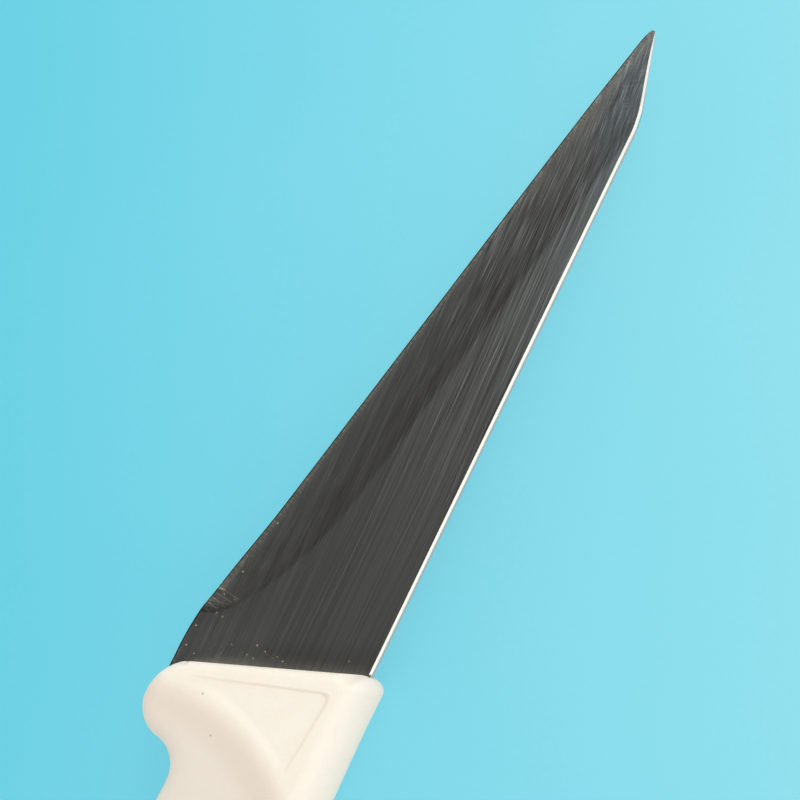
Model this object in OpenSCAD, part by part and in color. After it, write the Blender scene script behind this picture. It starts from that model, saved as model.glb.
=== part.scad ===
// Boning knife: a ground and polished steel blade with a hidden tang, and a
// moulded plastic handle with a finger guard and a recessed triangular panel.
// The knife lies on its side. +X runs to the point, +Y to the cutting edge and
// +Z is square to the side of the blade.

/* [Blade] */
// Length of blade past the handle, measured along the spine
blade_len = 140; // [125:0.5:165]
// How far the back of the blade stands above the line that heights start from
spine_up = 0.5; // [0:0.05:0.8]
// Height of the heel, from the spine to the bottom of the blade
heel_h = 38.95; // [38:0.05:40]
// Height of the straight edge line where the spine meets the handle
edge_root_h = 36.75; // [35:0.05:38.5]
// Height of the same edge line at the point
edge_tip_h = 6.55; // [6:0.05:10]
// How far the edge curves up off its line towards the point
belly = 0.45; // [0.1:0.05:0.8]
// Length of edge that this curve takes
belly_len = 30; // [15:1:50]
// How far behind the start of the spine the heel begins to sweep into the edge
heel_back = 14; // [10:0.5:15]
// Length of the heel sweep
sweep_len = 36; // [26:1:50]
// Length of the clipped spine at the point
clip_len = 17.8; // [10:0.1:30]
// How far the clip brings the point down below the spine
clip_drop = 5.35; // [3:0.05:5.5]
// Length over which the spine rounds into the clip
clip_round = 8; // [2:0.5:12]
// Thickness of the polished blade
blade_t = 2.3; // [1.6:0.1:2.4]
// Width of the eased corners along the spine
spine_ease = 0.5; // [0.1:0.05:0.7]

/* [Grinding] */
// Width of the main grind at the heel, from the edge to the grind line
grind_heel = 12.3; // [8:0.1:14]
// Width of the main grind at the point
grind_tip = 11; // [8:0.1:12]
// Where the grind starts, behind the start of the spine
plunge_back = 5.3; // [4:0.1:8]
// Length over which the grind line sweeps in from the heel
plunge_len = 38; // [25:1:60]
// Width over which the flat of the blade rolls into the main grind
grind_roll = 1.6; // [0.6:0.1:2.5]
// Thickness left behind the sharpened edge, past the heel
shoulder_t = 0.5; // [0.3:0.05:0.8]
// Thickness left behind the sharpened edge where it starts
shoulder_heel_t = 0.95; // [0.8:0.05:1.2]
// Width of the sharpened edge where it starts
bevel_heel = 2; // [1.2:0.1:2.4]
// Width of the sharpened edge along the blade
bevel_w = 1; // [0.6:0.1:1.2]
// Length over which it narrows
bevel_fade = 12; // [6:1:20]
// Where the sharpened edge starts, ahead of the start of the spine
bevel_start = 0.3; // [0:0.1:2]
// Thickness of the cutting edge itself
edge_t = 0.08; // [0.05:0.01:0.15]

/* [Tang] */
// Thickness of the blank that is left unpolished inside the handle
tang_t = 2.5; // [2.5:0.1:3.2]
// Width of the tang behind its shoulders
tang_w = 17; // [12:0.5:20]
// Length of the tang behind the start of the spine
tang_len = 108; // [80:1:114]
// Depth of the full-height shoulders inside the handle
shoulder_in = 8; // [6.5:0.5:10]
// Radius of the fillets behind the shoulders
tang_fillet = 4; // [2:0.5:6]
// Bore of the holes that the moulded plastic flows through
flow_d = 8; // [5:0.5:10]
// Number of flow holes
flow_n = 3; // [2:1:4]
// Play between the steel and the plastic around it
fit_gap = 0.05; // [0.03:0.01:0.1]

/* [Handle] */
// Overall length of the handle along its back
handle_len = 128; // [122:1:140]
// Overall thickness of the handle, across its flat cheeks
handle_t = 21; // [19:0.5:24]
// How far the front corner of the handle stands above the spine
nose_rise = 3.2; // [2.5:0.05:4.5]
// How far the top of the arch in its back stands above the spine
back_rise = 4.1; // [3.5:0.1:5.5]
// Lean of the front of the handle away from square, in degrees
front_lean = 22.2; // [18:0.2:25]
// Where the front of the handle crosses the spine, behind the start of it
front_back = 0.9; // [0:0.1:2]
// Radius of the front corner beside the spine
nose_r = 3.8; // [2.5:0.1:5]
// Rounding of the front face into the cheeks
front_round = 1.8; // [1:0.1:2.4]
// Drop of the finger guard below the spine line
guard_drop = 40.6; // [40:0.1:44]
// Radius of the front of the finger guard
guard_front_r = 11.4; // [9:0.2:13]
// Radius of the back of the finger guard
guard_back_r = 7; // [6:0.1:8.5]
// Radius of the recess where the index finger meets the guard
finger_r = 6.2; // [5:0.1:7.5]
// Drop of the deepest place of that recess below the spine line
finger_drop = 28.8; // [27.5:0.1:30.5]
// Drop of the belly of the grip below the spine line
palm_drop = 32.3; // [31:0.1:35]
// Position of the belly behind the start of the spine
palm_back = 74; // [64:1:84]
// Drop of the waist of the grip below the spine line
waist_drop = 29.6; // [27:0.1:31]
// Position of the waist behind the start of the spine
waist_back = 103; // [96:1:108]
// Drop of the hook at the butt below the spine line
hook_drop = 37; // [34:0.2:40]
// Radius of the hook
hook_r = 6; // [5:0.2:8]
// How far the back has come down from its arch at the butt
butt_fall = 5.8; // [2:0.1:8]
// Radius of the butt corner on the back
butt_r = 8; // [6:0.2:10]
// Lean of the butt, in degrees
butt_lean = 7.6; // [2:0.2:12]
// Rounding of the butt into the sides
butt_round = 4; // [2:0.2:5]
// Thickness of the handle at the butt
butt_t = 18; // [15:0.5:19]

/* [Grip scoop] */
// Depth of the scoop in each side behind the cheek
scoop_depth = 3; // [1:0.1:4]
// Radius of the ridge between the cheek and the scoop
scoop_r = 44.4; // [42:0.2:45]
// Centre of that radius behind the start of the spine
scoop_back = 62; // [60:0.5:64]
// Centre of that radius below the spine line
scoop_down = 29.5; // [28:0.5:31]
// Width over which the ridge falls into the scoop
scoop_w = 11; // [6:0.5:16]

/* [Panel] */
// Depth of the recessed triangular panel in each cheek
panel_depth = 0.4; // [0.2:0.1:0.8]
// Rim between the panel and the scoop ridge
panel_rim = 0.6; // [0.4:0.1:2]
// Distance from the front of the handle to the panel, beside the spine
panel_front = 4.2; // [3:0.1:6]
// Lean of the panel's front side, in degrees
panel_lean = 19.3; // [17:0.1:22]
// Distance from the spine line to the panel's back side, at its front corner
panel_back_y = 2.3; // [2:0.1:4]
// Slope of the panel's back side, in degrees
panel_back_tilt = 5; // [0:0.5:8]
// Radius of the panel's corners
panel_r = 1; // [0.5:0.1:1.5]

/* [Hidden] */
$fn = 48;

steel_colour = [0.36, 0.37, 0.38];
plastic_colour = [0.96, 0.93, 0.88];

// ---------- shared helpers ----------
function smooth(t) = let (u = min(1, max(0, t))) u * u * (3 - 2 * u);
function ease(a, b, t) = a + (b - a) * smooth(t);
function arc(c, r, a) = [c[0] + r * cos(a), c[1] + r * sin(a)];
function quarter(t) = sqrt(max(0, 1 - pow(1 - min(1, max(0, t)), 2)));
// where x lies between the stops a and b, as 0 to 1
function part_of(x, a, b) = (x - a) / (b - a);

// ---------- blade outline ----------
edge_slope = (edge_tip_h - edge_root_h) / blade_len;
sweep_end = sweep_len - heel_back;
clip_x = blade_len - clip_len;
clip_slope = clip_drop / clip_len;
point_len = 2.5;
point_round = 0.4;

function edge_line(x) = edge_root_h + edge_slope * x;

// cubic that leaves the heel level and joins the edge line along its slope
function sweep(t) = heel_h + (edge_line(sweep_end) - heel_h) * smooth(t)
  + sweep_len * edge_slope * (t * t * t - t * t);

// height of the edge below the spine line
function edge_y(x) =
  x <= -heel_back ? heel_h
  : x < sweep_end ? sweep((x + heel_back) / sweep_len)
  : edge_line(x) - belly * pow(max(0, part_of(x, blade_len - belly_len, blade_len)), 2)
    - point_round * pow(max(0, part_of(x, blade_len - point_len, blade_len)), 2);

// height of the back of the blade below the spine line
function spine_y(x) =
  let (a = clip_round / 2, d = x - clip_x)
  (d <= -a ? 0
   : d < a ? clip_slope * (d + a) * (d + a) / (4 * a)
   : clip_slope * d) - spine_up;

// ---------- grinding ----------
function fade(x) = 1 - smooth(x / bevel_fade);
function bevel_at(x) = bevel_w + (bevel_heel - bevel_w) * fade(x);
function shoulder_at(x) = (shoulder_t + (shoulder_heel_t - shoulder_t) * fade(x)) / 2;
function grind_at(x) =
  let (t = min(1, max(0, (x + plunge_back) / plunge_len)))
  (grind_heel + (grind_tip - grind_heel) * x / blade_len) * sqrt(1 - (1 - t) * (1 - t));

// the grind reaches its full depth where the sharpened edge starts
function depth(x) = smooth(part_of(x, -plunge_back, bevel_start));
bevel_ramp = 0.5;
function sharp(x) = min(1, max(0, (x - bevel_start) / bevel_ramp));

// distance from the edge of the grind line, kept clear of the bevel's shoulder
function line_at(x) = max(grind_at(x), bevel_heel + 2 * grind_roll);

// half thickness at a distance d from the edge
function half_t(x, d) =
  let (full = blade_t / 2, g = line_at(x), b = bevel_at(x), w = grind_roll / 2, s = shoulder_at(x))
  let (k = (full - s) / (g - b) * depth(x))
  let (ground = d > g + w ? full
              : d > g - w ? full - k * (g + w - d) * (g + w - d) / (4 * w)
              : full - k * (g - d))
  let (bevel = edge_t / 2 + (s - edge_t / 2) * d / b)
  d < b ? ground + (bevel - ground) * sharp(x) : ground;

// steps from a to b that lie closer together at the start or at the end
function early(a, b, t) = a + (b - a) * t * t;
function late(a, b, t) = b - (b - a) * (1 - t) * (1 - t);

blade_x = concat(
  [-30, -22],
  [for (i = [0 : 8]) -heel_back + (heel_back - plunge_back) * i / 9],
  [for (i = [0 : 9]) -plunge_back + (plunge_back + bevel_start) * i / 9],
  [for (i = [0 : 20]) early(bevel_start + bevel_ramp, sweep_end, i / 20)],
  [for (i = [1 : 30]) sweep_end + (clip_x - clip_round / 2 - sweep_end) * i / 30],
  [for (i = [1 : 8]) clip_x - clip_round / 2 + clip_round * i / 8],
  [for (i = [1 : 9]) late(clip_x + clip_round / 2, blade_len, i / 9)]);

// distances from the edge of the corners of one cross-section, down one side:
// the flat, the rolled grind line, the shoulder and the edge
function corners(x) =
  let (h = edge_y(x) - spine_y(x), g = line_at(x), w = grind_roll / 2)
  let (top = h - min(spine_ease, 0.1 * h))
  let (roll = [for (k = [2 : -1 : -2]) min(g + k * w / 2, top - (3 - k) * min(0.1, 0.03 * h))])
  concat([top], roll, [min(bevel_at(x), 0.6 * h), 0]);

function blade_ring(x) =
  let (s = spine_y(x), e = edge_y(x), c = corners(x))
  let (eased = half_t(x, e - s) - min(spine_ease, 0.1 * (e - s)))
  let (side = concat([[s, eased]], [for (d = c) [e - d, half_t(x, d)]]))
  concat([for (q = side) [x, q[0], q[1]]],
         [for (k = [len(side) - 1 : -1 : 0]) [x, side[k][0], -side[k][1]]]);

// closed skin through rings of m points, where opp(k) lies opposite point k
module skin(rings, shared) {
  n = len(rings);
  m = len(rings[0]);
  sides = [for (i = [0 : n - 2], k = [0 : m - 1])
    let (a = i * m + k, b = i * m + (k + 1) % m)
    each [[a, b, a + m], [b, b + m, a + m]]];
  polyhedron([for (r = rings) each r], concat(sides,
    end_faces(0, m, shared, false), end_faces((n - 1) * m, m, shared, true)));
}

// flat end of a ring that runs out along one side and back along the other;
// with shared ends its first and middle points belong to both sides
function end_faces(o, m, shared, flip) = [
  for (k = [0 : (shared ? m / 2 - 1 : m / 2 - 2)])
    let (a = k, b = k + 1, c = shared ? m - k - 1 : m - 2 - k, d = shared ? (m - k) % m : m - 1 - k)
    each [if (b != c) turn([o + a, o + c, o + b], flip), if (a != d) turn([o + a, o + d, o + c], flip)]];
function turn(f, flip) = flip ? [f[0], f[2], f[1]] : f;

// ---------- front of the handle ----------
// x of the line that lies s behind the front face, at height y
function front_x(s, y) = -front_back - (s + y * sin(front_lean)) / cos(front_lean);
function behind_front(p) = -(p[0] + front_back) * cos(front_lean) - p[1] * sin(front_lean);
// x of the line that lies s ahead of the butt, at height y
function butt_x(s, y) = -handle_len + (s - y * sin(butt_lean)) / cos(butt_lean);
function ahead_of_butt(p) = (p[0] + handle_len) * cos(butt_lean) + p[1] * sin(butt_lean);

// ---------- tang ----------
tang_y = (palm_drop - back_rise) / 2;
tang_root = front_x(shoulder_in, tang_y);
lip = 0.3;
heel_in = 1.5;

module tang_outline() {
  offset(r = -tang_fillet) offset(delta = tang_fillet) {
    polygon([
      [front_x(-lip, 0), -spine_up],
      [front_x(-lip, heel_h), heel_h],
      [front_x(heel_in, heel_h), heel_h],
      [front_x(shoulder_in, heel_h - shoulder_in), heel_h - shoulder_in],
      [front_x(shoulder_in, 0), -spine_up]]);
    translate([-tang_len + tang_w / 2, tang_y - tang_w / 2])
      square([tang_len + tang_root, tang_w]);
    translate([-tang_len + tang_w / 2, tang_y]) circle(d = tang_w);
  }
}

module flow_holes(d, h) {
  for (i = [0 : flow_n - 1])
    translate([tang_root - (tang_len + tang_root) * (i + 0.5) / flow_n, tang_y, 0])
      cylinder(d = d, h = h, center = true);
}

// ---------- outline of the handle, along its back and along its grip ----------
nose_y = nose_r - nose_rise;
nose_c = [front_x(nose_r, nose_y), nose_y];
guard_y = guard_drop - guard_front_r;
guard_c = [front_x(guard_front_r, guard_y), guard_y];
lobe_c = [guard_c[0], guard_drop - guard_back_r];
// the arcs of the guard and of the recess touch on the line between their centres
finger_a = asin((finger_drop + finger_r - lobe_c[1]) / (guard_back_r + finger_r));
finger_c = arc(lobe_c, guard_back_r + finger_r, 180 - finger_a);
butt_y = butt_r + butt_fall - back_rise;
butt_c = [butt_x(butt_r, butt_y), butt_y];
hook_y = hook_drop - hook_r;
hook_c = [butt_x(hook_r, hook_y), hook_y];

// angle turned on a corner of radius r at step i of 8: the first four steps
// climb the rounding w of the end face, the rest finish the corner
function corner(i, r, w, total) =
  let (a = acos(1 - w / r))
  i <= 4 ? acos(1 - w * (1 - cos(22.5 * i)) / r) : a + (total - a) * (i - 4) / 4;

grip_edge = concat(
  [for (i = [1 : 9]) arc(lobe_c, guard_back_r, 90 + (90 - finger_a) * i / 9)],
  [for (i = [1 : 7]) arc(finger_c, finger_r, -finger_a - (90 - finger_a) * i / 7)],
  [for (i = [1 : 13]) let (t = i / 13)
    [finger_c[0] + (-palm_back - finger_c[0]) * t, ease(finger_drop, palm_drop, t)]],
  [for (i = [1 : 8]) let (t = i / 8)
    [-palm_back + (palm_back - waist_back) * t, ease(palm_drop, waist_drop, t)]],
  [for (i = [1 : 9]) let (t = i / 9)
    [-waist_back + (hook_c[0] + waist_back) * t, ease(waist_drop, hook_drop, t)]]);

arch_x = -55;
lead_a = nose_c[0] - guard_c[0];
lead_b = butt_c[0] - hook_c[0];
function lead(x) = lead_a + (lead_b - lead_a) * part_of(x, guard_c[0], hook_c[0]);
function back_y(x) =
  x > arch_x ? ease(-nose_rise, -back_rise, part_of(x, nose_c[0], arch_x))
             : ease(-back_rise, butt_fall - back_rise, part_of(x, arch_x, butt_c[0]));

grip_back = [for (p = grip_edge) let (x = p[0] + lead(p[0])) [x, back_y(x)]];

edge_path = concat(
  [for (i = [0 : 8]) arc(guard_c, guard_front_r,
    front_lean + corner(i, guard_front_r, front_round, 90 - front_lean))],
  grip_edge,
  [for (i = [7 : -1 : 0]) arc(hook_c, hook_r,
    180 + butt_lean - corner(i, hook_r, butt_round, 90 + butt_lean))]);
back_path = concat(
  [for (i = [0 : 8]) arc(nose_c, nose_r,
    front_lean - corner(i, nose_r, front_round, 90 + front_lean))],
  grip_back,
  [for (i = [7 : -1 : 0]) arc(butt_c, butt_r,
    butt_lean - 180 + corner(i, butt_r, butt_round, 90 - butt_lean))]);
stations = len(edge_path);

// ---------- thickness of the handle ----------
half = handle_t / 2;
swell_x = -46;
palm_x = -84;
function grip_half(x) =
  x > palm_x ? ease(half - scoop_depth, half, part_of(x, swell_x, palm_x))
             : ease(half, butt_t / 2, part_of(x, palm_x, -handle_len));
function cheek(p) =
  let (d = norm([p[0] + scoop_back, p[1] - scoop_down]))
  p[0] < -scoop_back ? 0 : smooth((d - scoop_r + scoop_w) / scoop_w);
function face_round(s, r, h) = 1 - r / h * (1 - quarter(s / r));
function half_at(p) =
  let (g = grip_half(p[0]), h = g + (half - g) * cheek(p))
  h * face_round(behind_front(p), front_round, h) * face_round(ahead_of_butt(p), butt_round, h);

// how far each side rounds in, square to its outline: hardly at all beside the
// flat ends, and most along the grip
back_round = 5;
guard_round = 5;
grip_round = 15;
tail_round = 7;
least_round = 1.5;
function full_round(x, front) =
  x > -100 ? ease(front, grip_round, part_of(x, -24, -66))
           : ease(grip_round, tail_round, part_of(x, -100, -handle_len));
function rounds(path, front) =
  [for (p = path) ease(least_round, ease(least_round, full_round(p[0], front),
    norm(p - path[0]) / 9), norm(p - path[stations - 1]) / 16)];
back_r = rounds(back_path, back_round);
edge_r = rounds(edge_path, guard_round);

// distance of p from the line from a to b, as a share of the rounding there
function share(p, a, b, ra, rb) =
  let (t = min(1, max(0, (p - a) * (b - a) / ((b - a) * (b - a)))))
  norm(p - a - (b - a) * t) / (ra + (rb - ra) * t);
// how far the surface has risen at p, near point i of a path
function risen(p, path, r, i) =
  quarter(min([for (k = [max(0, i - 10) : min(stations - 2, i + 10)])
    share(p, path[k], path[k + 1], r[k], r[k + 1])]));

// reach of the rounding along the station line that crosses the handle at i
function reach(r, path, i, dir, room) =
  let (t = path[min(i + 1, stations - 1)] - path[max(i - 1, 0)])
  min(r[i] / max(0.4, abs(t[0] * dir[1] - t[1] * dir[0]) / norm(t)), 0.46 * room);

round_steps = 7;
flat_steps = 16;

function handle_ring(i) =
  let (b = back_path[i], e = edge_path[i], room = norm(e - b), dir = (e - b) / room)
  let (rb = reach(back_r, back_path, i, dir, room), re = reach(edge_r, edge_path, i, dir, room))
  let (turns = [for (k = [1 : round_steps]) 1 - cos(90 * k / round_steps)])
  let (line = concat([for (t = turns) rb * t],
    [for (k = [1 : flat_steps - 1]) rb + (room - rb - re) * k / flat_steps],
    [for (k = [round_steps - 1 : -1 : 0]) room - re * turns[k]]))
  let (top = [for (q = line) let (p = b + dir * q)
    [p[0], p[1], half_at(p) * risen(p, back_path, back_r, i) * risen(p, edge_path, edge_r, i)]])
  concat([[b[0], b[1], 0]], top, [[e[0], e[1], 0]],
         [for (k = [len(top) - 1 : -1 : 0]) [top[k][0], top[k][1], -top[k][2]]]);

module panel_outline() {
  a = panel_lean;
  px = front_x(panel_front, 0);
  offset(r = panel_r) offset(delta = -panel_r) difference() {
    polygon([
      [px - panel_back_y * tan(a), panel_back_y],
      [px - guard_drop * tan(a), guard_drop],
      [px - guard_drop, guard_drop],
      [px - guard_drop, panel_back_y + guard_drop * tan(panel_back_tilt)]]);
    translate([-scoop_back, scoop_down]) circle(r = scoop_r + panel_rim, $fn = 120);
  }
}

// ---------- placing ----------
// the knife rests on one cheek, centred on its own length and depth
x_min = min([for (p = edge_path) p[0]]);
x_mid = (blade_len + x_min) / 2;
y_mid = (guard_drop - back_rise) / 2;
module placed() { translate([-x_mid, -y_mid, half]) children(); }

module blade() {
  color(steel_colour) placed() difference() {
    union() {
      difference() {
        skin([for (x = blade_x) blade_ring(x)], false);
        rotate([0, 0, front_lean])
          translate([-60 - front_back * cos(front_lean) - heel_in / 2, -30, -5])
            cube([60, 120, 10]);
      }
      translate([0, 0, -tang_t / 2]) linear_extrude(tang_t) tang_outline();
    }
    flow_holes(flow_d, 2 * tang_t);
  }
}

module handle() {
  color(plastic_colour) placed() difference() {
    skin([for (i = [stations - 1 : -1 : 0]) handle_ring(i)], true);
    difference() {
      translate([0, 0, -tang_t / 2 - fit_gap]) linear_extrude(tang_t + 2 * fit_gap)
        offset(delta = fit_gap) tang_outline();
      flow_holes(flow_d - 2 * fit_gap, 2 * tang_t);
    }
    for (side = [0, 1]) mirror([0, 0, side])
      translate([0, 0, half - panel_depth]) linear_extrude(2) panel_outline();
  }
}

blade();
handle();
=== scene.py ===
import math

import bmesh
import bpy
import numpy as np
from mathutils import Matrix, Vector


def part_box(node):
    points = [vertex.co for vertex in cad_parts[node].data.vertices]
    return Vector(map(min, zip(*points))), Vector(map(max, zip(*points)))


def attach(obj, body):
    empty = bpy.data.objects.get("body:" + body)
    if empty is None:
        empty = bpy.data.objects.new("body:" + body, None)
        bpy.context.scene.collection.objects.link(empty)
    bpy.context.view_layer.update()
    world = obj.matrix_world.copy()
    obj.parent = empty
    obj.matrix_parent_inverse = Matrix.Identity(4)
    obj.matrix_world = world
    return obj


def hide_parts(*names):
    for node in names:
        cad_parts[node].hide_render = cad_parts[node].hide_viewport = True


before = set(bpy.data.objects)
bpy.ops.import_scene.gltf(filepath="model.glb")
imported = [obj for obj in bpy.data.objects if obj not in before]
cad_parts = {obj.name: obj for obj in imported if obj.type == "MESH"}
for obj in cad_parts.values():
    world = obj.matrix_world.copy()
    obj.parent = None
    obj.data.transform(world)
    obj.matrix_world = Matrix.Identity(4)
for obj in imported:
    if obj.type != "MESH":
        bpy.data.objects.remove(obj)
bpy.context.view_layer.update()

# ---------------------------------------------------------------------------
# Blade
# One piece of stainless steel with its tang: blanked from sheet, ground thin
# towards the edge on both sides and brushed along its length. The last grind,
# which sharpens it, runs across the edge. The handle is moulded round the tang.
# ---------------------------------------------------------------------------
MM = 0.001
BLADE_LEN = 140.0
SPINE_UP = 0.5          # the spine stands this far above the line that sizes start from
HEEL_H = 38.95
HEEL_BACK = 14.0        # the heel starts to sweep into the edge here
SWEEP_END = 22.0
EDGE_ROOT_H = 36.75     # height of the straight edge line at the handle
EDGE_TIP_H = 6.55       # and at the point
BELLY = 0.45            # how far the edge leaves that line near the point
BELLY_LEN = 30.0
BEVEL_START = 0.3
BEVEL_HEEL_W, BEVEL_W = 2.0, 1.0
BEVEL_FADE = 12.0       # length over which the sharpened edge narrows
MARKS_W, MARKS_FADE = 1.2, 60.0     # the marks of sharpening narrow more slowly
GRIND_W, GRIND_TIP_W = 12.3, 11.0   # from the edge to the grind line
PLUNGE_BACK, PLUNGE_LEN = 5.3, 38.0
CLIP_LEN, CLIP_DROP = 17.8, 5.35
POINT_FROM, POINT_FULL = 92.0, 122.0    # the marks change here towards the point
PLUNGE_LINES_APART = 1.3
PLUNGE_LINES_LEAN = 0.07    # sideways per millimetre of their length
PLUNGE_LINES_AT = Vector((0.46, 33.0))  # one of them passes here
PLUNGE_LINES_LAST_X, PLUNGE_LINES_FOOT = 1.1, 32.0
SPINE_FLAT_W = 0.1
FRONT_AT, FRONT_SLOPE = 0.9, 0.41       # the handle's front, which crumbs lie along
CRUMB_SCALE = 0.5           # room for so many to a millimetre
BRUSH_DEPTH = 0.6e-6        # of the relief, in metres

# the steel's colours are darker than bare steel: partly its own tone, and partly painted shade for
# the dark room that it reflects
PLAIN_TONE = 0.315          # of brushed steel, between its dark and its light
STEEL_DARK = (0.083, 0.0715, 0.063, 1)
STEEL_LIGHT = (0.682, 0.734, 0.735, 1)
STEEL_BLUE_REFLECTION = (0.86, 0.98, 1.07, 1)
EDGE_DARK = (0.120, 0.123, 0.113, 1)
EDGE_STEEL = (0.320, 0.326, 0.297, 1)
EDGE_LINE_SHADE = (0.070, 0.048, 0.042, 1)
SPINE_HIGHLIGHT_STEEL = (0.68, 0.668, 0.635, 1)
SPINE_FLAT = (0.53, 0.50, 0.48, 1)
CRUMB = (0.31, 0.27, 0.21, 1)
CRUMB_ORANGE = (0.36, 0.24, 0.14, 1)

# the knife's sizes are in millimetres from a place beside the front of the
# handle, just below the spine and half way through the blade
low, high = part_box("blade")
spine_start = Vector((high.x - BLADE_LEN * MM, low.y + SPINE_UP * MM, (low.z + high.z) / 2))


class Value:
    """A socket in a node tree. Arithmetic on it adds Math nodes."""

    def __init__(self, tree, socket=None):
        self.tree, self.socket = tree, socket

    def node(self, kind, settings, inputs, *outputs):
        """Adds a node: its settings first, then the values or links of its sockets."""
        made = self.tree.nodes.new("ShaderNode" + kind)
        for name, setting in settings.items():
            setattr(made, name, setting)
        for name, given in inputs.items():
            if isinstance(given, Value):
                self.tree.links.new(given.socket, made.inputs[name])
            else:
                made.inputs[name].default_value = given
        outputs = outputs or range(min(1, len(made.outputs)))
        found = [Value(self.tree, made.outputs[name]) for name in outputs]
        return found[0] if len(found) == 1 else found

    def maths(self, operation, *given):
        return self.node("Math", {"operation": operation}, dict(enumerate(given)))

    def __add__(self, other):
        return self.maths("ADD", self, other)

    def __sub__(self, other):
        return self.maths("SUBTRACT", self, other)

    def __rsub__(self, other):
        return self.maths("SUBTRACT", other, self)

    def __mul__(self, other):
        return self.maths("MULTIPLY", self, other)

    def __truediv__(self, other):
        return self.maths("DIVIDE", self, other)

    def __lt__(self, other):
        return self.maths("LESS_THAN", self, other)

    def __gt__(self, other):
        return self.maths("GREATER_THAN", self, other)

    def __abs__(self):
        return self.maths("ABSOLUTE", self)

    __radd__, __rmul__ = __add__, __mul__

    def at_least(self, other):
        return self.maths("MAXIMUM", self, other)

    def fraction(self):
        return self.maths("FRACT", self)

    def root(self):
        return self.maths("SQRT", self)

    def rise(self, start, end, interpolation="SMOOTHSTEP"):
        """Climbs from 0 at start to 1 at end, and stays there."""
        return self.node("MapRange", {"interpolation_type": interpolation},
                         {"Value": self, "From Min": start, "From Max": end}, "Result")

    def blend(self, colour, other):
        """The first colour where this is 0, the other where it is 1."""
        return self.node("Mix", {"data_type": "RGBA"}, {0: self, 6: colour, 7: other}, 2)

    def tint(self, colour, tone):
        """The colour where this is 0, and the same times the tone where it is 1."""
        return self.node("Mix", {"data_type": "RGBA", "blend_type": "MULTIPLY"},
                         {0: self, 6: colour, 7: tone}, 2)

    def along(self, direction):
        """How far this place lies along a direction."""
        return self.node("VectorMath", {"operation": "DOT_PRODUCT"},
                         {0: self, 1: direction}, "Value")

    def distance_to(self, place):
        return self.node("VectorMath", {"operation": "DISTANCE"}, {0: self, 1: place}, "Value")

    def noise(self, scale, detail):
        """Noise at this place, from 0 to 1."""
        return self.node("TexNoise", {}, {"Vector": self, "Scale": scale, "Detail": detail}, 0)


def new_finish(name):
    """An empty material, and the value that its nodes are made from."""
    material = bpy.data.materials.new(name)
    material.use_nodes = True
    material.node_tree.nodes.clear()
    return material, Value(material.node_tree)


def distances(make):
    """Millimetres along the blade, across it and up from its middle."""
    place = make.node("TexCoord", {}, {}, "Object")
    sides = make.node("SeparateXYZ", {}, {0: place}, 0, 1, 2)
    return [(side - start) * (1 / MM) for side, start in zip(sides, spine_start)]


def finish_shader(make, sockets, height, depth):
    """The surface itself, with a relief of the given depth in metres."""
    relief = make.node("Bump", {}, {"Height": height, "Distance": depth, "Strength": 1.0})
    shader = make.node("BsdfPrincipled", {}, {**sockets, "Normal": relief})
    make.node("OutputMaterial", {}, {"Surface": shader})


steel, make = new_finish("brushed_steel")
x, y, z = distances(make)


def grain(angle, length, width, seed, detail=2.0):
    """Strands of noise: their direction in degrees from the spine, their
    length and their width in millimetres."""
    c, s = math.cos(math.radians(angle)), math.sin(math.radians(angle))
    strand = make.node("CombineXYZ", {}, {0: (x * c + y * s) * (1 / length),
                                          1: (y * c - x * s) * (1 / width),
                                          2: z * (1 / width) + seed})
    return strand.noise(1.0, detail)


# the edge sweeps in from the heel, runs straight, and bellies a little near
# the point; its sharpened band is wider at the heel
edge_slope = (EDGE_TIP_H - EDGE_ROOT_H) / BLADE_LEN
sweep_len = SWEEP_END + HEEL_BACK
sweep_drop = EDGE_ROOT_H + edge_slope * SWEEP_END - HEEL_H
swept = x.rise(-HEEL_BACK, SWEEP_END, "LINEAR")
bend = x.rise(BLADE_LEN - BELLY_LEN, BLADE_LEN, "LINEAR")
from_edge = (HEEL_H + sweep_drop * swept * swept * (3 - 2 * swept)
             + sweep_len * edge_slope * swept * swept * (swept - 1)
             + edge_slope * (x - SWEEP_END).at_least(0) - BELLY * bend * bend - y)
bevel_width = BEVEL_W + (BEVEL_HEEL_W - BEVEL_W) * (1 - x.rise(0, BEVEL_FADE))
sharpened = x.rise(BEVEL_START - 0.2, BEVEL_START + 0.1)

# the main grind starts in a curve behind the edge and ends in a line that
# shows as a change of tone
short_of_full = 1 - x.rise(-PLUNGE_BACK, PLUNGE_LEN - PLUNGE_BACK, "LINEAR")
grind_width = ((GRIND_W + (GRIND_TIP_W - GRIND_W) / BLADE_LEN * x)
               * (1 - short_of_full * short_of_full).root())
inside_line = grind_width - from_edge
ground = inside_line.rise(-0.5, 0.5)
from_spine = y - (x - BLADE_LEN + CLIP_LEN).at_least(0) * (CLIP_DROP / CLIP_LEN) + SPINE_UP

# the brushing, and bright lines in it
fine = grain(angle=0.3, length=30, width=0.18, seed=3, detail=1.0) - 0.5
coarse = grain(angle=-0.4, length=60, width=0.30, seed=11) - 0.5
broad = grain(angle=0.8, length=90, width=2.2, seed=27, detail=1.0) - 0.5
bright = grain(angle=0.0, length=70, width=0.2, seed=41, detail=1.0).rise(0.66, 0.74)

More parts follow.
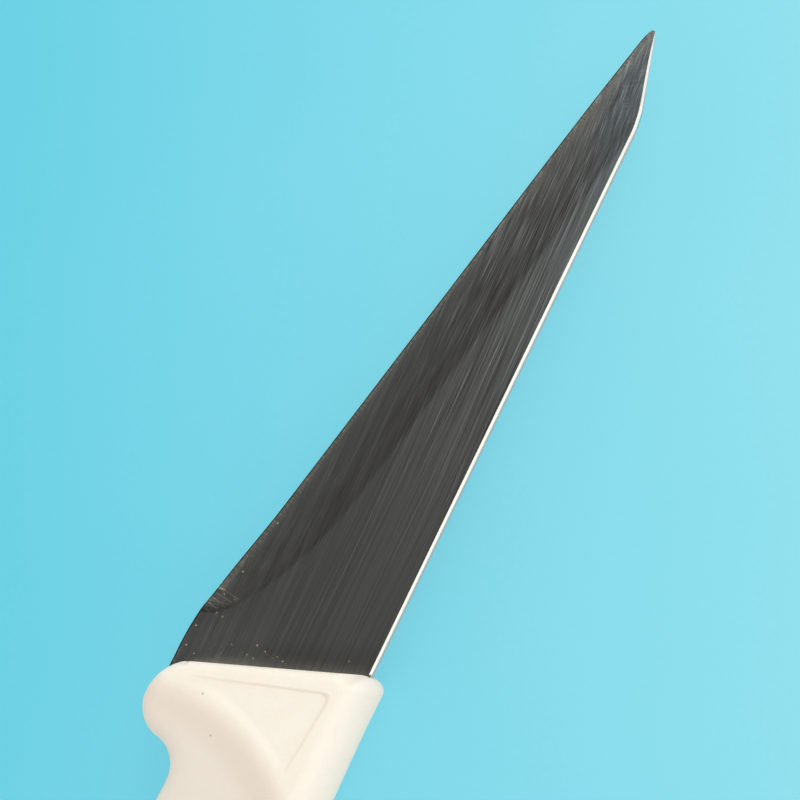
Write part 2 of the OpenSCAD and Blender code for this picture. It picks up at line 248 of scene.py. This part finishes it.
# further on, the scratches are shorter, deeper and turn towards the spine
to_point = x.rise(POINT_FROM, POINT_FULL)
strands = grain(angle=2, length=16, width=0.25, seed=57, detail=1.0)
scratches = ((0.9 * (strands - 0.5) + 0.3 * strands.rise(0.60, 0.72))
             * x.rise(12, 80) * (1 - to_point) * (1 - 0.6 * ground * (1 - x.rise(65, 100)))
             * (1 - 0.3 * (1 - ground) * x.rise(78, 100)))
point_strands = grain(angle=8, length=8, width=0.22, seed=73, detail=1.0)
point_scratches = ((0.6 * (point_strands - 0.5) + 0.2 * point_strands.rise(0.58, 0.70))
                   * to_point * (0.75 + 0.3 * x.rise(116, 130)))
cross_marks = grain(angle=-62, length=3, width=0.2, seed=63).rise(0.58, 0.68) * x.rise(112, 126)

# sharpening leaves short marks across the edge, which end unevenly
edge_marks = grain(angle=80, length=5, width=0.32, seed=71).rise(0.40, 0.62)
marks_width = MARKS_W + (BEVEL_HEEL_W - MARKS_W) * (1 - x.rise(0, MARKS_FADE))
marked = (1 - (from_edge / marks_width + 0.3 * edge_marks).rise(0.65, 1.3)) * sharpened

# the wheel leaves a few short lines where it is set down behind the edge
line_at = ((x - PLUNGE_LINES_LEAN * (y - PLUNGE_LINES_AT.y) - PLUNGE_LINES_AT.x)
           * (1 / PLUNGE_LINES_APART))
off_line = abs((line_at + 0.5).fraction() - 0.5)
plunge_lines = ((1 - off_line.rise(0.05, 0.12)) * (x < PLUNGE_LINES_LAST_X)
                * (y + 0.9 * x).rise(PLUNGE_LINES_FOOT, PLUNGE_LINES_FOOT + 0.5)
                * from_edge.rise(0.5, 0.9))

# painted highlight: where the spine's faces turn sideways they are painted much lighter than the
# blade's sides, and a low lamp beside the spine lights them too; its flat top is darker and less
# metallic
normal = make.node("NewGeometry", {}, {}, "Normal")
facing = abs(make.node("SeparateXYZ", {}, {0: normal}, 2))
spine = 1 - facing.rise(0.78, 0.92)
spine_flat = 1 - from_spine.rise(SPINE_FLAT_W - 0.06, SPINE_FLAT_W + 0.06)

# crumbs of dried plastic and polish lie along the front of the handle, most of
# them near the heel
ahead = x + FRONT_SLOPE * y + FRONT_AT
spot = make.node("TexVoronoi", {"voronoi_dimensions": "2D"},
                 {"Vector": make.node("CombineXYZ", {}, {0: x, 1: y}), "Scale": CRUMB_SCALE},
                 "Distance", "Color")
chance = make.node("SeparateXYZ", {}, {0: spot[1]}, 0, 1, 2)
crumbs = ((1 - spot[0].rise(0.02 + 0.05 * chance[1], 0.05 + 0.08 * chance[1]))
          * (chance[0] > 0.75 - 0.6 * y.rise(8, 36) + 0.65 * ahead.rise(1.5, 6.5)))
crumb_colour = chance[2].rise(0.5, 0.9).blend(CRUMB, CRUMB_ORANGE)

# how light the steel is, from each thing that changes it, over ranges that are
# in millimetres along the blade or from one of its lines: the brushing and the
# bright lines are marks in the steel, and the rest is painted light and painted
# shade, lighter and darker patches that stand in for what the steel reflects
brushing = 0.29 * fine + 0.11 * coarse + 0.05 * broad + scratches + point_scratches
lines = (0.15 * x.rise(-10, 35) * bright * (1 - 0.6 * ground)
         + 0.13 * cross_marks + 0.22 * plunge_lines)
near_line = inside_line.rise(-9, 0)
flat_painted_light = 0.03 * (1 - ground) * ((1 - near_line) * x.rise(35, 80) + near_line * x.rise(0, 25))
ground_painted_shade = ground * (0.035 + 0.065 * (1 - inside_line.rise(0, 8))
                         + 0.085 * (1 - x.rise(-2.5, 1)))
edge_painted_light = (0.09 * sharpened * (1 - from_edge.rise(0.6, 4))
              + 0.07 * x.rise(112, 128) * (1 - from_edge.rise(0.8, 4)))
bevel_painted_shade = 0.14 * sharpened * (1 - (from_edge / bevel_width).rise(0.9, 1.2))
spine_painted_light = 0.11 * x.rise(40, 100) * (1 - 0.6 * to_point) * (1 - from_spine.rise(1, 6))
spine_painted_shade = (0.055 * from_spine.rise(0.3, 0.6) * (1 - from_spine.rise(0.9, 1.7))
               * (1 - x.rise(10, 45)))
heel_painted_light = 0.07 * (1 - ahead.rise(5, 13)) * y.rise(14, 30)
root_painted_shade = 0.05 * (1 - ahead.rise(1, 8)) * (1 - y.rise(16, 30))
point_painted_shade = (0.06 * to_point + 0.035 * x.rise(95, 108) * (1 - x.rise(116, 124))
               + 0.045 * x.rise(119, 131) - 0.012 * x.rise(45, 80))
tone = (PLAIN_TONE + brushing + lines + flat_painted_light + edge_painted_light + spine_painted_light + heel_painted_light
        - ground_painted_shade - bevel_painted_shade - spine_painted_shade - root_painted_shade - point_painted_shade)

# painted reflection: a bluish tint towards the point and along the spine
blue = (x.rise(100, 128) * from_edge.rise(1, 5)
        + 0.5 * x.rise(40, 100) * (1 - from_spine.rise(2, 10))).rise(0, 1, "LINEAR")
# the sharpening marks are hatched light and dark, and where the bevel starts it is painted light,
# a painted glint
hatch_and_start_glint = edge_marks.at_least(1 - x.rise(0.6, 3)).blend(EDGE_DARK, EDGE_STEEL)
colour = tone.rise(0, 1, "LINEAR").blend(STEEL_DARK, STEEL_LIGHT)
colour = blue.tint(colour, STEEL_BLUE_REFLECTION)
colour = (0.5 * marked).blend(colour, hatch_and_start_glint)
# painted shade: a thin dark line along the very edge
colour = (0.9 - 0.9 * from_edge.rise(0.14, 0.34)).blend(colour, EDGE_LINE_SHADE)
# painted highlight on the spine
colour = spine.blend(colour, spine_flat.blend(SPINE_HIGHLIGHT_STEEL, SPINE_FLAT))
colour = crumbs.blend(colour, crumb_colour)
roughness = (0.34 + 0.06 * fine + 0.04 * broad + 0.06 * marked + 0.06 * bright
             + 0.06 * to_point + 0.2 * crumbs)
relief = fine + 1.2 * coarse + scratches + point_scratches + marked * edge_marks + 2 * crumbs
finish_shader(make, {"Base Color": colour, "Roughness": roughness,
                     "Metallic": (1 - crumbs) * (1 - 0.6 * spine_flat)}, relief, BRUSH_DEPTH)

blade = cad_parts["blade"]
blade.material_slots[0].material = steel

# ---------------------------------------------------------------------------
# Handle
# One piece of polypropylene, injection moulded round the tang in a satin
# finish. A finger guard hangs in front of the scooped grip, and a shallow
# triangular panel with soft sides is let into each cheek.
# ---------------------------------------------------------------------------
HANDLE_LEN = 127.94
HANDLE_T = 21.0
NOSE_RISE = 3.2
BACK_RISE = 4.1
FRONT_LEAN = math.radians(22.2)
FRONT_BACK = 0.9        # the front crosses the spine line here
NOSE_R = 3.1
FRONT_ROUND = 1.8
GUARD_DROP = 40.6
GUARD_FRONT_R = 11.4
GUARD_BACK_R = 7.0
FINGER_R, FINGER_DROP = 6.2, 28.8
PALM_DROP, PALM_BACK = 32.3, 74.0
WAIST_DROP, WAIST_BACK = 29.6, 103.0
HOOK_DROP, HOOK_R = 37.0, 6.0
BUTT_FALL, BUTT_R = 5.8, 8.0
BUTT_LEAN = math.radians(7.6)
BUTT_ROUND = 4.0
BUTT_T = 18.0
ARCH_X = -55.0
SCOOP_DEPTH, SCOOP_R, SCOOP_W = 3.0, 44.4, 11.0
SCOOP_CENTRE = Vector((-62.0, 29.5))
SWELL_X, PALM_X = -46.0, -84.0
PANEL_DEPTH, PANEL_RIM, PANEL_FRONT = 0.4, 0.6, 4.2
PANEL_LEAN = math.radians(19.3)
PANEL_BACK_Y = 2.3
PANEL_BACK_TILT = math.radians(5)
PANEL_SIDE_W = 0.45     # width of the panel's sloping sides
RIDGE_SIDE_W = 2.0      # and of the side beside the ridge
PANEL_CORNER = 2.4      # reach of the rounding of its corners
FRONT_IN, GRIP_IN, TAIL_IN = 5.0, 15.0, 7.0     # how far the sides round in
NOSE_IN, LEAST_IN = 3.5, 1.5
GUARD_END_X, BELLY_X, TAIL_X = -24.0, -66.0, -100.0     # where that changes
FRONT_RUN, BUTT_RUN = 12.0, 16.0    # and over what length beside the flat ends
FRONT_WALL, BUTT_WALL = 0.85, 0.95      # share of the height that stands upright there
WALL_FADE = 9.0
LEAST_SQUARE, MOST_OF_ROOM = 0.4, 0.46      # where the line across is slanted, or short
PORE_DEPTH = 2e-5       # of the relief, in metres
CLOUD_SCALE, PORE_SCALE, SPECK_SCALE = 0.16, 1.6, 0.11      # lumps to a millimetre

QUARTER_TURN = math.pi / 2
SHARP_ANGLE = math.radians(40)
# the number of steps along each stretch of the outline, and across the handle
ROUNDING_STEPS, CORNER_STEPS = 10, 28
LOBE_STEPS, FINGER_STEPS = 32, 28
PALM_STEPS, WAIST_STEPS, HOOK_STEPS = 104, 40, 40
ROUND_STEPS, FLAT_STEPS = 14, 120

PLASTIC = (0.87, 0.828, 0.748, 1)
PLASTIC_PALE = (0.89, 0.852, 0.780, 1)
PLASTIC_GRIP_SHADE = (0.762, 0.710, 0.645, 1)
PLASTIC_WARM_SHADE = (1.0, 0.955, 0.935, 1)
PLASTIC_FOOT_SHADE = (0.955, 0.915, 0.88, 1)
PLASTIC_SPECK = (0.25, 0.21, 0.17, 1)
SPECKS = ((-18.4, 26.6), (-25.3, 22.0))


def smooth(t):
    t = min(1.0, max(0.0, t))
    return t * t * (3 - 2 * t)


def ease(a, b, t):
    """From a to b as t goes from 0 to 1, slowly at both ends."""
    return a + (b - a) * smooth(t)


def part_of(value, a, b):
    """How much of the way from a to b the value has come."""
    return (value - a) / (b - a)


def quarter(t):
    """Height of a quarter circle at t of its width."""
    return math.sqrt(max(0.0, 1 - (1 - min(1.0, max(0.0, t))) ** 2))


def arc(centre, radius, angle):
    return centre + Vector((radius * math.cos(angle), radius * math.sin(angle)))


def behind_front(s, y):
    """The point that lies s behind the front face, at height y."""
    return Vector((-FRONT_BACK - (s + y * math.sin(FRONT_LEAN)) / math.cos(FRONT_LEAN), y))


def ahead_of_butt(s, y):
    """The point that lies s ahead of the butt's face, at height y."""
    return Vector((-HANDLE_LEN + (s - y * math.sin(BUTT_LEAN)) / math.cos(BUTT_LEAN), y))


def corner(radius, rounding, total):
    """Angles round a corner, close together where the end face rounds over."""
    turned = math.acos(1 - rounding / radius)
    first = [math.acos(1 - rounding * (1 - math.cos(QUARTER_TURN * i / ROUNDING_STEPS)) / radius)
             for i in range(ROUNDING_STEPS + 1)]
    return first + [turned + (total - turned) * i / CORNER_STEPS
                    for i in range(1, CORNER_STEPS + 1)]


nose = behind_front(NOSE_R, NOSE_R - NOSE_RISE)
guard = behind_front(GUARD_FRONT_R, GUARD_DROP - GUARD_FRONT_R)
lobe = Vector((guard.x, GUARD_DROP - GUARD_BACK_R))
# the arcs of the guard and of the recess for the finger touch between their centres
touch = math.asin((FINGER_DROP + FINGER_R - lobe.y) / (GUARD_BACK_R + FINGER_R))
finger = arc(lobe, GUARD_BACK_R + FINGER_R, math.pi - touch)
butt = ahead_of_butt(BUTT_R, BUTT_R + BUTT_FALL - BACK_RISE)
hook = ahead_of_butt(HOOK_R, HOOK_DROP - HOOK_R)
palm = Vector((-PALM_BACK, PALM_DROP))
waist = Vector((-WAIST_BACK, WAIST_DROP))

grip_edge = [arc(lobe, GUARD_BACK_R, QUARTER_TURN + (QUARTER_TURN - touch) * i / LOBE_STEPS)
             for i in range(1, LOBE_STEPS + 1)]
grip_edge += [arc(finger, FINGER_R, -touch - (QUARTER_TURN - touch) * i / FINGER_STEPS)
              for i in range(1, FINGER_STEPS + 1)]
for start, end, steps in ((Vector((finger.x, FINGER_DROP)), palm, PALM_STEPS),
                          (palm, waist, WAIST_STEPS),
                          (waist, Vector((hook.x, HOOK_DROP)), HOOK_STEPS)):
    grip_edge += [Vector((start.x + (end.x - start.x) * i / steps,
                          ease(start.y, end.y, i / steps))) for i in range(1, steps + 1)]


def opposite(x):
    """The point of the back that faces x on the grip edge."""
    ahead_at_nose, ahead_at_butt = nose.x - guard.x, butt.x - hook.x
    x += ahead_at_nose + (ahead_at_butt - ahead_at_nose) * part_of(x, guard.x, hook.x)
    if x > ARCH_X:
        return Vector((x, ease(-NOSE_RISE, -BACK_RISE, part_of(x, nose.x, ARCH_X))))
    return Vector((x, ease(-BACK_RISE, BUTT_FALL - BACK_RISE, part_of(x, ARCH_X, butt.x))))


edge_path = ([arc(guard, GUARD_FRONT_R, FRONT_LEAN + a)
              for a in corner(GUARD_FRONT_R, FRONT_ROUND, QUARTER_TURN - FRONT_LEAN)]
             + grip_edge
             + [arc(hook, HOOK_R, math.pi + BUTT_LEAN - a)
                for a in corner(HOOK_R, BUTT_ROUND, QUARTER_TURN + BUTT_LEAN)[-2::-1]])
back_path = ([arc(nose, NOSE_R, FRONT_LEAN - a)
              for a in corner(NOSE_R, FRONT_ROUND, QUARTER_TURN + FRONT_LEAN)]
             + [opposite(p.x) for p in grip_edge]
             + [arc(butt, BUTT_R, BUTT_LEAN - math.pi + a)
                for a in corner(BUTT_R, BUTT_ROUND, QUARTER_TURN - BUTT_LEAN)[-2::-1]])


def inside_panel(x, y):
    """How far x and y lie inside the panel's front and back sides."""
    behind = behind_front(PANEL_FRONT, 0).x - x
    return ((behind - y * math.tan(PANEL_LEAN)) * math.cos(PANEL_LEAN),
            (y - PANEL_BACK_Y - behind * math.tan(PANEL_BACK_TILT)) * math.cos(PANEL_BACK_TILT))


def panel_at(p):
    """Depth of the panel: its three sides slope, and its corners are rounded."""
    to_rim = (p - SCOOP_CENTRE).length - SCOOP_R - PANEL_RIM
    sides = sorted((*inside_panel(p.x, p.y), to_rim * PANEL_SIDE_W / RIDGE_SIDE_W))
    rounded = max(0.0, 1 - (sides[1] - sides[0]) / PANEL_CORNER)
    nearest = sides[0] - PANEL_CORNER / 4 * rounded ** 2
    return PANEL_DEPTH * smooth(nearest / PANEL_SIDE_W + 0.5)


def half_at(p):
    """Half the thickness of the handle, before the panel is let in."""
    half = HANDLE_T / 2
    grip = (ease(half - SCOOP_DEPTH, half, part_of(p.x, SWELL_X, PALM_X)) if p.x > PALM_X
            else ease(half, BUTT_T / 2, part_of(p.x, PALM_X, -HANDLE_LEN)))
    ridge = (p - SCOOP_CENTRE).length - SCOOP_R
    cheek = smooth((ridge + SCOOP_W) / SCOOP_W) if p.x > SCOOP_CENTRE.x else 0
    height = grip + (half - grip) * cheek
    from_front = -(p.x + FRONT_BACK) * math.cos(FRONT_LEAN) - p.y * math.sin(FRONT_LEAN)
    from_butt = (p.x + HANDLE_LEN) * math.cos(BUTT_LEAN) + p.y * math.sin(BUTT_LEAN)
    for gap, rounding in ((from_front, FRONT_ROUND), (from_butt, BUTT_ROUND)):
        height *= 1 - rounding / height * (1 - quarter(gap / rounding))
    return height


def roundings(path, start):
    """How far a side rounds in at each point of its outline: hardly at all
    beside the flat ends, and most along the grip."""
    found = []
    for p in path:
        full = (ease(FRONT_IN, GRIP_IN, part_of(p.x, GUARD_END_X, BELLY_X)) if p.x > TAIL_X
                else ease(GRIP_IN, TAIL_IN, part_of(p.x, TAIL_X, -HANDLE_LEN)))
        full = ease(start, full, (p - path[0]).length / FRONT_RUN)
        found.append(ease(LEAST_IN, full, (p - path[-1]).length / BUTT_RUN))
    return found


back_in, edge_in = roundings(back_path, NOSE_IN), roundings(edge_path, LEAST_IN)


def risen(points, path, radii):
    """How far the surface has risen at points, by their distance from an outline."""
    corners = np.array([tuple(p) for p in path])
    legs = np.diff(corners, axis=0)
    offset = np.array([tuple(p) for p in points])[:, None] - corners[:-1]
    t = np.clip((offset * legs).sum(2) / (legs ** 2).sum(1), 0, 1)
    gap = np.linalg.norm(offset - t[..., None] * legs, axis=2)
    share = (gap / (np.array(radii)[:-1] + t * np.diff(radii))).min(1)
    return np.sqrt(1 - (1 - share.clip(0, 1)) ** 2)


def upright(path, i, end, share):
    """The share of the height that stands upright on an outline: most of it
    beside the flat end that it meets, and none further on."""
    gap = (path[i] - path[end]).length
    return share * max(0.0, 1 - gap / WALL_FADE) ** 2


def reach(radii, path, i, across, room):
    """The rounding of a side, measured along the line that crosses the handle."""
    along = path[min(i + 1, len(path) - 1)] - path[max(i - 1, 0)]
    square = abs(along.x * across.y - along.y * across.x) / along.length
    return min(radii[i] / max(LEAST_SQUARE, square), MOST_OF_ROOM * room)


def handle_section(i):
    """One line across the upper side of the handle, from its back to its edge."""
    back, edge = back_path[i], edge_path[i]
    room = (edge - back).length
    across = (edge - back) / room
    near_back = reach(back_in, back_path, i, across, room)
    near_edge = reach(edge_in, edge_path, i, across, room)
    turns = [1 - math.cos(QUARTER_TURN * k / ROUND_STEPS) for k in range(ROUND_STEPS + 1)]
    line = [near_back * turn for turn in turns]
    line += [near_back + (room - near_back - near_edge) * k / FLAT_STEPS
             for k in range(1, FLAT_STEPS)]
    line += [room - near_edge * turn for turn in reversed(turns)]
    points = [back + across * place for place in line]
    edge_wall = max(upright(edge_path, i, 0, FRONT_WALL), upright(edge_path, i, -1, BUTT_WALL))
    back_wall = upright(back_path, i, -1, BUTT_WALL)
    rise = ((edge_wall + (1 - edge_wall) * risen(points, edge_path, edge_in))
            * (back_wall + (1 - back_wall) * risen(points, back_path, back_in)))
    section = [Vector((p.x, p.y, part * (half_at(p) - panel_at(p))))
               for p, part in zip(points, rise)]
    section[0].z = section[-1].z = 0
    return section


def flipped(p):
    return Vector((p.x, p.y, -p.z))


mesh = bmesh.new()


def add_point(p):
    return mesh.verts.new(spine_start + p * MM)


def add_ring(section):
    """Points of a section's upper and lower sides, which share their ends."""
    upper = [add_point(p) for p in section]
    lower = [upper[0]] + [add_point(flipped(p)) for p in section[1:-1]] + [upper[-1]]
    return upper, lower


sections = [handle_section(i) for i in range(len(edge_path))]
rings = [add_ring(section) for section in sections]
for ring, next_ring in zip(rings, rings[1:]):
    for side, next_side in zip(ring, next_ring):
        for k in range(len(side) - 1):
            mesh.faces.new((side[k], side[k + 1], next_side[k + 1], next_side[k]))

# a flat face closes the front, and another the butt
for upper, lower in (rings[0], rings[-1]):
    for k in range(len(upper) - 1):
        mesh.faces.new(dict.fromkeys((upper[k], upper[k + 1], lower[k + 1], lower[k])))

bmesh.ops.recalc_face_normals(mesh, faces=mesh.faces)
for face in mesh.faces:
    face.smooth = True
for edge in mesh.edges:
    edge.smooth = edge.calc_face_angle(0) < SHARP_ANGLE
data = bpy.data.meshes.new("handle_moulding")
mesh.to_mesh(data)
mesh.free()
handle = bpy.data.objects.new("handle_moulding", data)
bpy.context.scene.collection.objects.link(handle)

plastic, make = new_finish("moulded_plastic")
x, y, z = distances(make)
here = make.node("CombineXYZ", {}, {0: x, 1: y, 2: z})
flat_place = make.node("CombineXYZ", {}, {0: x, 1: y})
cloud = here.noise(CLOUD_SCALE, 3.0)
pores = here.noise(PORE_SCALE, 3.0)
spot = make.node("TexVoronoi", {}, {"Vector": here, "Scale": SPECK_SCALE}, "Distance", "Color")
chance = make.node("SeparateXYZ", {}, {0: spot[1]}, 0)
specks = (1 - spot[0].rise(0.008, 0.016)) * (chance > 0.55)
colour = (0.45 * cloud + 0.55 * pores).rise(0.35, 0.65).blend(PLASTIC, PLASTIC_PALE)

# painted shade: the scooped grip is painted a little darker, most of all further
# back, and its wall below the panel a warmer shade, for the shade in the scoop
to_ridge = flat_place.distance_to((*SCOOP_CENTRE, 0))
grip_painted_shade = (1 - to_ridge.rise(SCOOP_R - 5.5, SCOOP_R)).at_least(x < SCOOP_CENTRE.x)
wall_warm_shade = to_ridge.rise(SCOOP_R - 11, SCOOP_R - 6) * (1 - to_ridge.rise(SCOOP_R - 3.2, SCOOP_R - 0.4))
colour = (grip_painted_shade * (0.9 - 0.4 * x.rise(-32, -10))).blend(colour, PLASTIC_GRIP_SHADE)
colour = (wall_warm_shade * (x > SCOOP_CENTRE.x)).tint(colour, PLASTIC_WARM_SHADE)

# painted shade at the foot of the panel's front and back sides
to_front, to_back = inside_panel(x, y)
apart = abs(to_front - to_back)
rounded = (1 - apart * (1 / PANEL_CORNER)).at_least(0)
inside = 0.5 * (to_front + to_back - apart) - PANEL_CORNER / 4 * rounded * rounded
panel_foot_shade = ((1 - abs(inside - PANEL_SIDE_W / 2).rise(0.05, 0.4))
          * to_ridge.rise(SCOOP_R + PANEL_RIM, SCOOP_R + PANEL_RIM + RIDGE_SIDE_W)
          * (x > SCOOP_CENTRE.x))
colour = panel_foot_shade.tint(colour, PLASTIC_FOOT_SHADE)
for place in SPECKS:
    gap = flat_place.distance_to((*place, 0))
    specks = specks.at_least((1 - gap.rise(0.1, 0.32)) * (z > 0))
colour = (0.6 * specks).blend(colour, PLASTIC_SPECK)
finish_shader(make, {"Base Color": colour, "Roughness": 0.44 + 0.12 * pores,
                     "Specular IOR Level": 0.3, "Subsurface Weight": 0.12,
                     "Subsurface Radius": (0.0024, 0.0016, 0.001), "Subsurface Scale": 1.0},
              pores + 0.5 * cloud, PORE_DEPTH)
data.materials.append(plastic)

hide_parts("handle")
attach(handle, "root")

# ---------------------------------------------------------------------------
# Table
# A sheet of matt blue card, painted a little lighter to one side, a painted fall-off
# of the light over it. What bounces off it onto the knife is close to grey, as from
# a card that lies well below.
# ---------------------------------------------------------------------------
TABLE_HALF = 3.0        # in metres
CARD_PAINTED_DIM = (0.118, 0.610, 0.768, 1)
CARD_PAINTED_LIT = (0.284, 0.745, 0.862, 1)
CARD_BOUNCE = (0.62, 0.66, 0.66, 1)
CARD_PLAIN = 0.78       # the share of its look that shadows leave alone
PAINTED_LIGHT_SIDE = (0.4355, -0.90, 0)
FIBRE_SCALE, PATCH_SCALE = 900.0, 14.0      # lumps to a metre

card, make = new_finish("blue_card")
here = make.node("TexCoord", {}, {}, "Object")
fibres = here.noise(FIBRE_SCALE, 2.0)
patches = here.noise(PATCH_SCALE, 2.0)
# painted light: lighter towards one side, with fibres and patches of the card's own
falloff_and_fibres = (here.along(PAINTED_LIGHT_SIDE).rise(-0.12, 0.11, "LINEAR")
        + 0.12 * (fibres - 0.5) + 0.15 * (patches - 0.5))
hue = falloff_and_fibres.blend(CARD_PAINTED_DIM, CARD_PAINTED_LIT)
lit = make.node("BsdfPrincipled", {}, {"Base Color": hue, "Roughness": 0.9,
                                       "Specular IOR Level": 0.2})
plain = make.node("Emission", {}, {"Color": hue})
seen = make.node("MixShader", {}, {0: CARD_PLAIN, 1: lit, 2: plain})
bounced = make.node("BsdfDiffuse", {}, {"Color": CARD_BOUNCE})
rays = make.node("LightPath", {}, {}, "Is Camera Ray", "Is Glossy Ray", "Is Transmission Ray")
both = make.node("MixShader", {}, {0: rays[0].at_least(rays[1]).at_least(rays[2]),
                                   1: bounced, 2: seen})
make.node("OutputMaterial", {}, {"Surface": both})

data = bpy.data.meshes.new("table")
data.from_pydata([(a * TABLE_HALF, b * TABLE_HALF, 0)
                  for a, b in ((-1, -1), (1, -1), (1, 1), (-1, 1))], [], [(0, 1, 2, 3)])
data.materials.append(card)
table = bpy.data.objects.new("table", data)
bpy.context.scene.collection.objects.link(table)

# ---------------------------------------------------------------------------
# Lights and camera
# A room with pale walls and a dark ceiling gives most of the light. A softbox
# beyond the point and a long low one beside the spine add shape.
# ---------------------------------------------------------------------------
HORIZON = (0.92, 0.94, 0.93, 1)
NEAR_WALL = (1.06, 1.02, 0.97, 1)
FAR_WALL = (1.62, 1.54, 1.43, 1)
DARK_CEILING = (0.035, 0.036, 0.036, 1)
FAR_WALL_SIDE = (-0.25, 0.97, 0)
CEILING_MIDDLE = (-0.05, 0.42, 0.906)
LAMP_WHITE = (1.0, 0.99, 0.97)


def softbox(name, width, height, place, radiance):
    """An area light that faces the knife, of a given brightness per area."""
    light = bpy.data.lights.new(name, "AREA")
    light.shape = "RECTANGLE"
    light.size, light.size_y = width, height
    light.energy = radiance * math.pi * width * height
    light.color = LAMP_WHITE
    lamp = bpy.data.objects.new(name, light)
    lamp.matrix_world = (Matrix.Translation(place)
                         @ (-place).to_track_quat("-Z", "Y").to_matrix().to_4x4())
    lamp.visible_camera = False
    bpy.context.scene.collection.objects.link(lamp)


# their sizes and places are in metres
softbox("key", width=0.9, height=0.7, place=Vector((0.80, 0.0, 0.80)), radiance=1.5)
softbox("spine_strip", width=1.6, height=0.16, place=Vector((0.15, -0.75, 0.24)), radiance=1.4)

world = bpy.data.worlds.new("room")
bpy.context.scene.world = world
world.use_nodes = True
world.node_tree.nodes.clear()
make = Value(world.node_tree)
towards = make.node("TexCoord", {}, {}, "Generated")
up = make.node("SeparateXYZ", {}, {0: towards}, 2)
far = towards.along(FAR_WALL_SIDE).rise(-0.5, 0.9)
walls = up.rise(0.02, 0.30).blend(HORIZON, far.blend(NEAR_WALL, FAR_WALL))
overhead = towards.along(CEILING_MIDDLE).rise(0.80, 0.91)
room = make.node("Background", {}, {"Color": overhead.blend(walls, DARK_CEILING)})
make.node("OutputWorld", {}, {"Surface": room})

CAMERA_TURN = math.radians(64.18)    # of the spine in the frame
CAMERA_TILT = math.radians(18.0)     # about the spine, so that its flat top shows
CAMERA_FROM_SPINE_START = Vector((0.051255, -0.122208, 0.436398))    # in metres
SENSOR, FRAME_PX, FOCAL_PX = 36.0, 800, 2268

along = Vector((1, 0, 0))
across = Vector((0, math.cos(CAMERA_TILT), math.sin(CAMERA_TILT)))
backwards = Vector((0, -math.sin(CAMERA_TILT), math.cos(CAMERA_TILT)))
right = math.cos(CAMERA_TURN) * along - math.sin(CAMERA_TURN) * across
upwards = math.sin(CAMERA_TURN) * along + math.cos(CAMERA_TURN) * across
camera = bpy.data.objects.new("camera", bpy.data.cameras.new("camera"))
camera.data.sensor_width = SENSOR
camera.data.lens = SENSOR * FOCAL_PX / FRAME_PX
camera.data.clip_start = 0.01
camera.matrix_world = (Matrix.Translation(spine_start + CAMERA_FROM_SPINE_START)
                       @ Matrix((right, upwards, backwards)).transposed().to_4x4())
bpy.context.scene.collection.objects.link(camera)
bpy.context.scene.camera = camera
bpy.context.scene.view_settings.view_transform = "Standard"
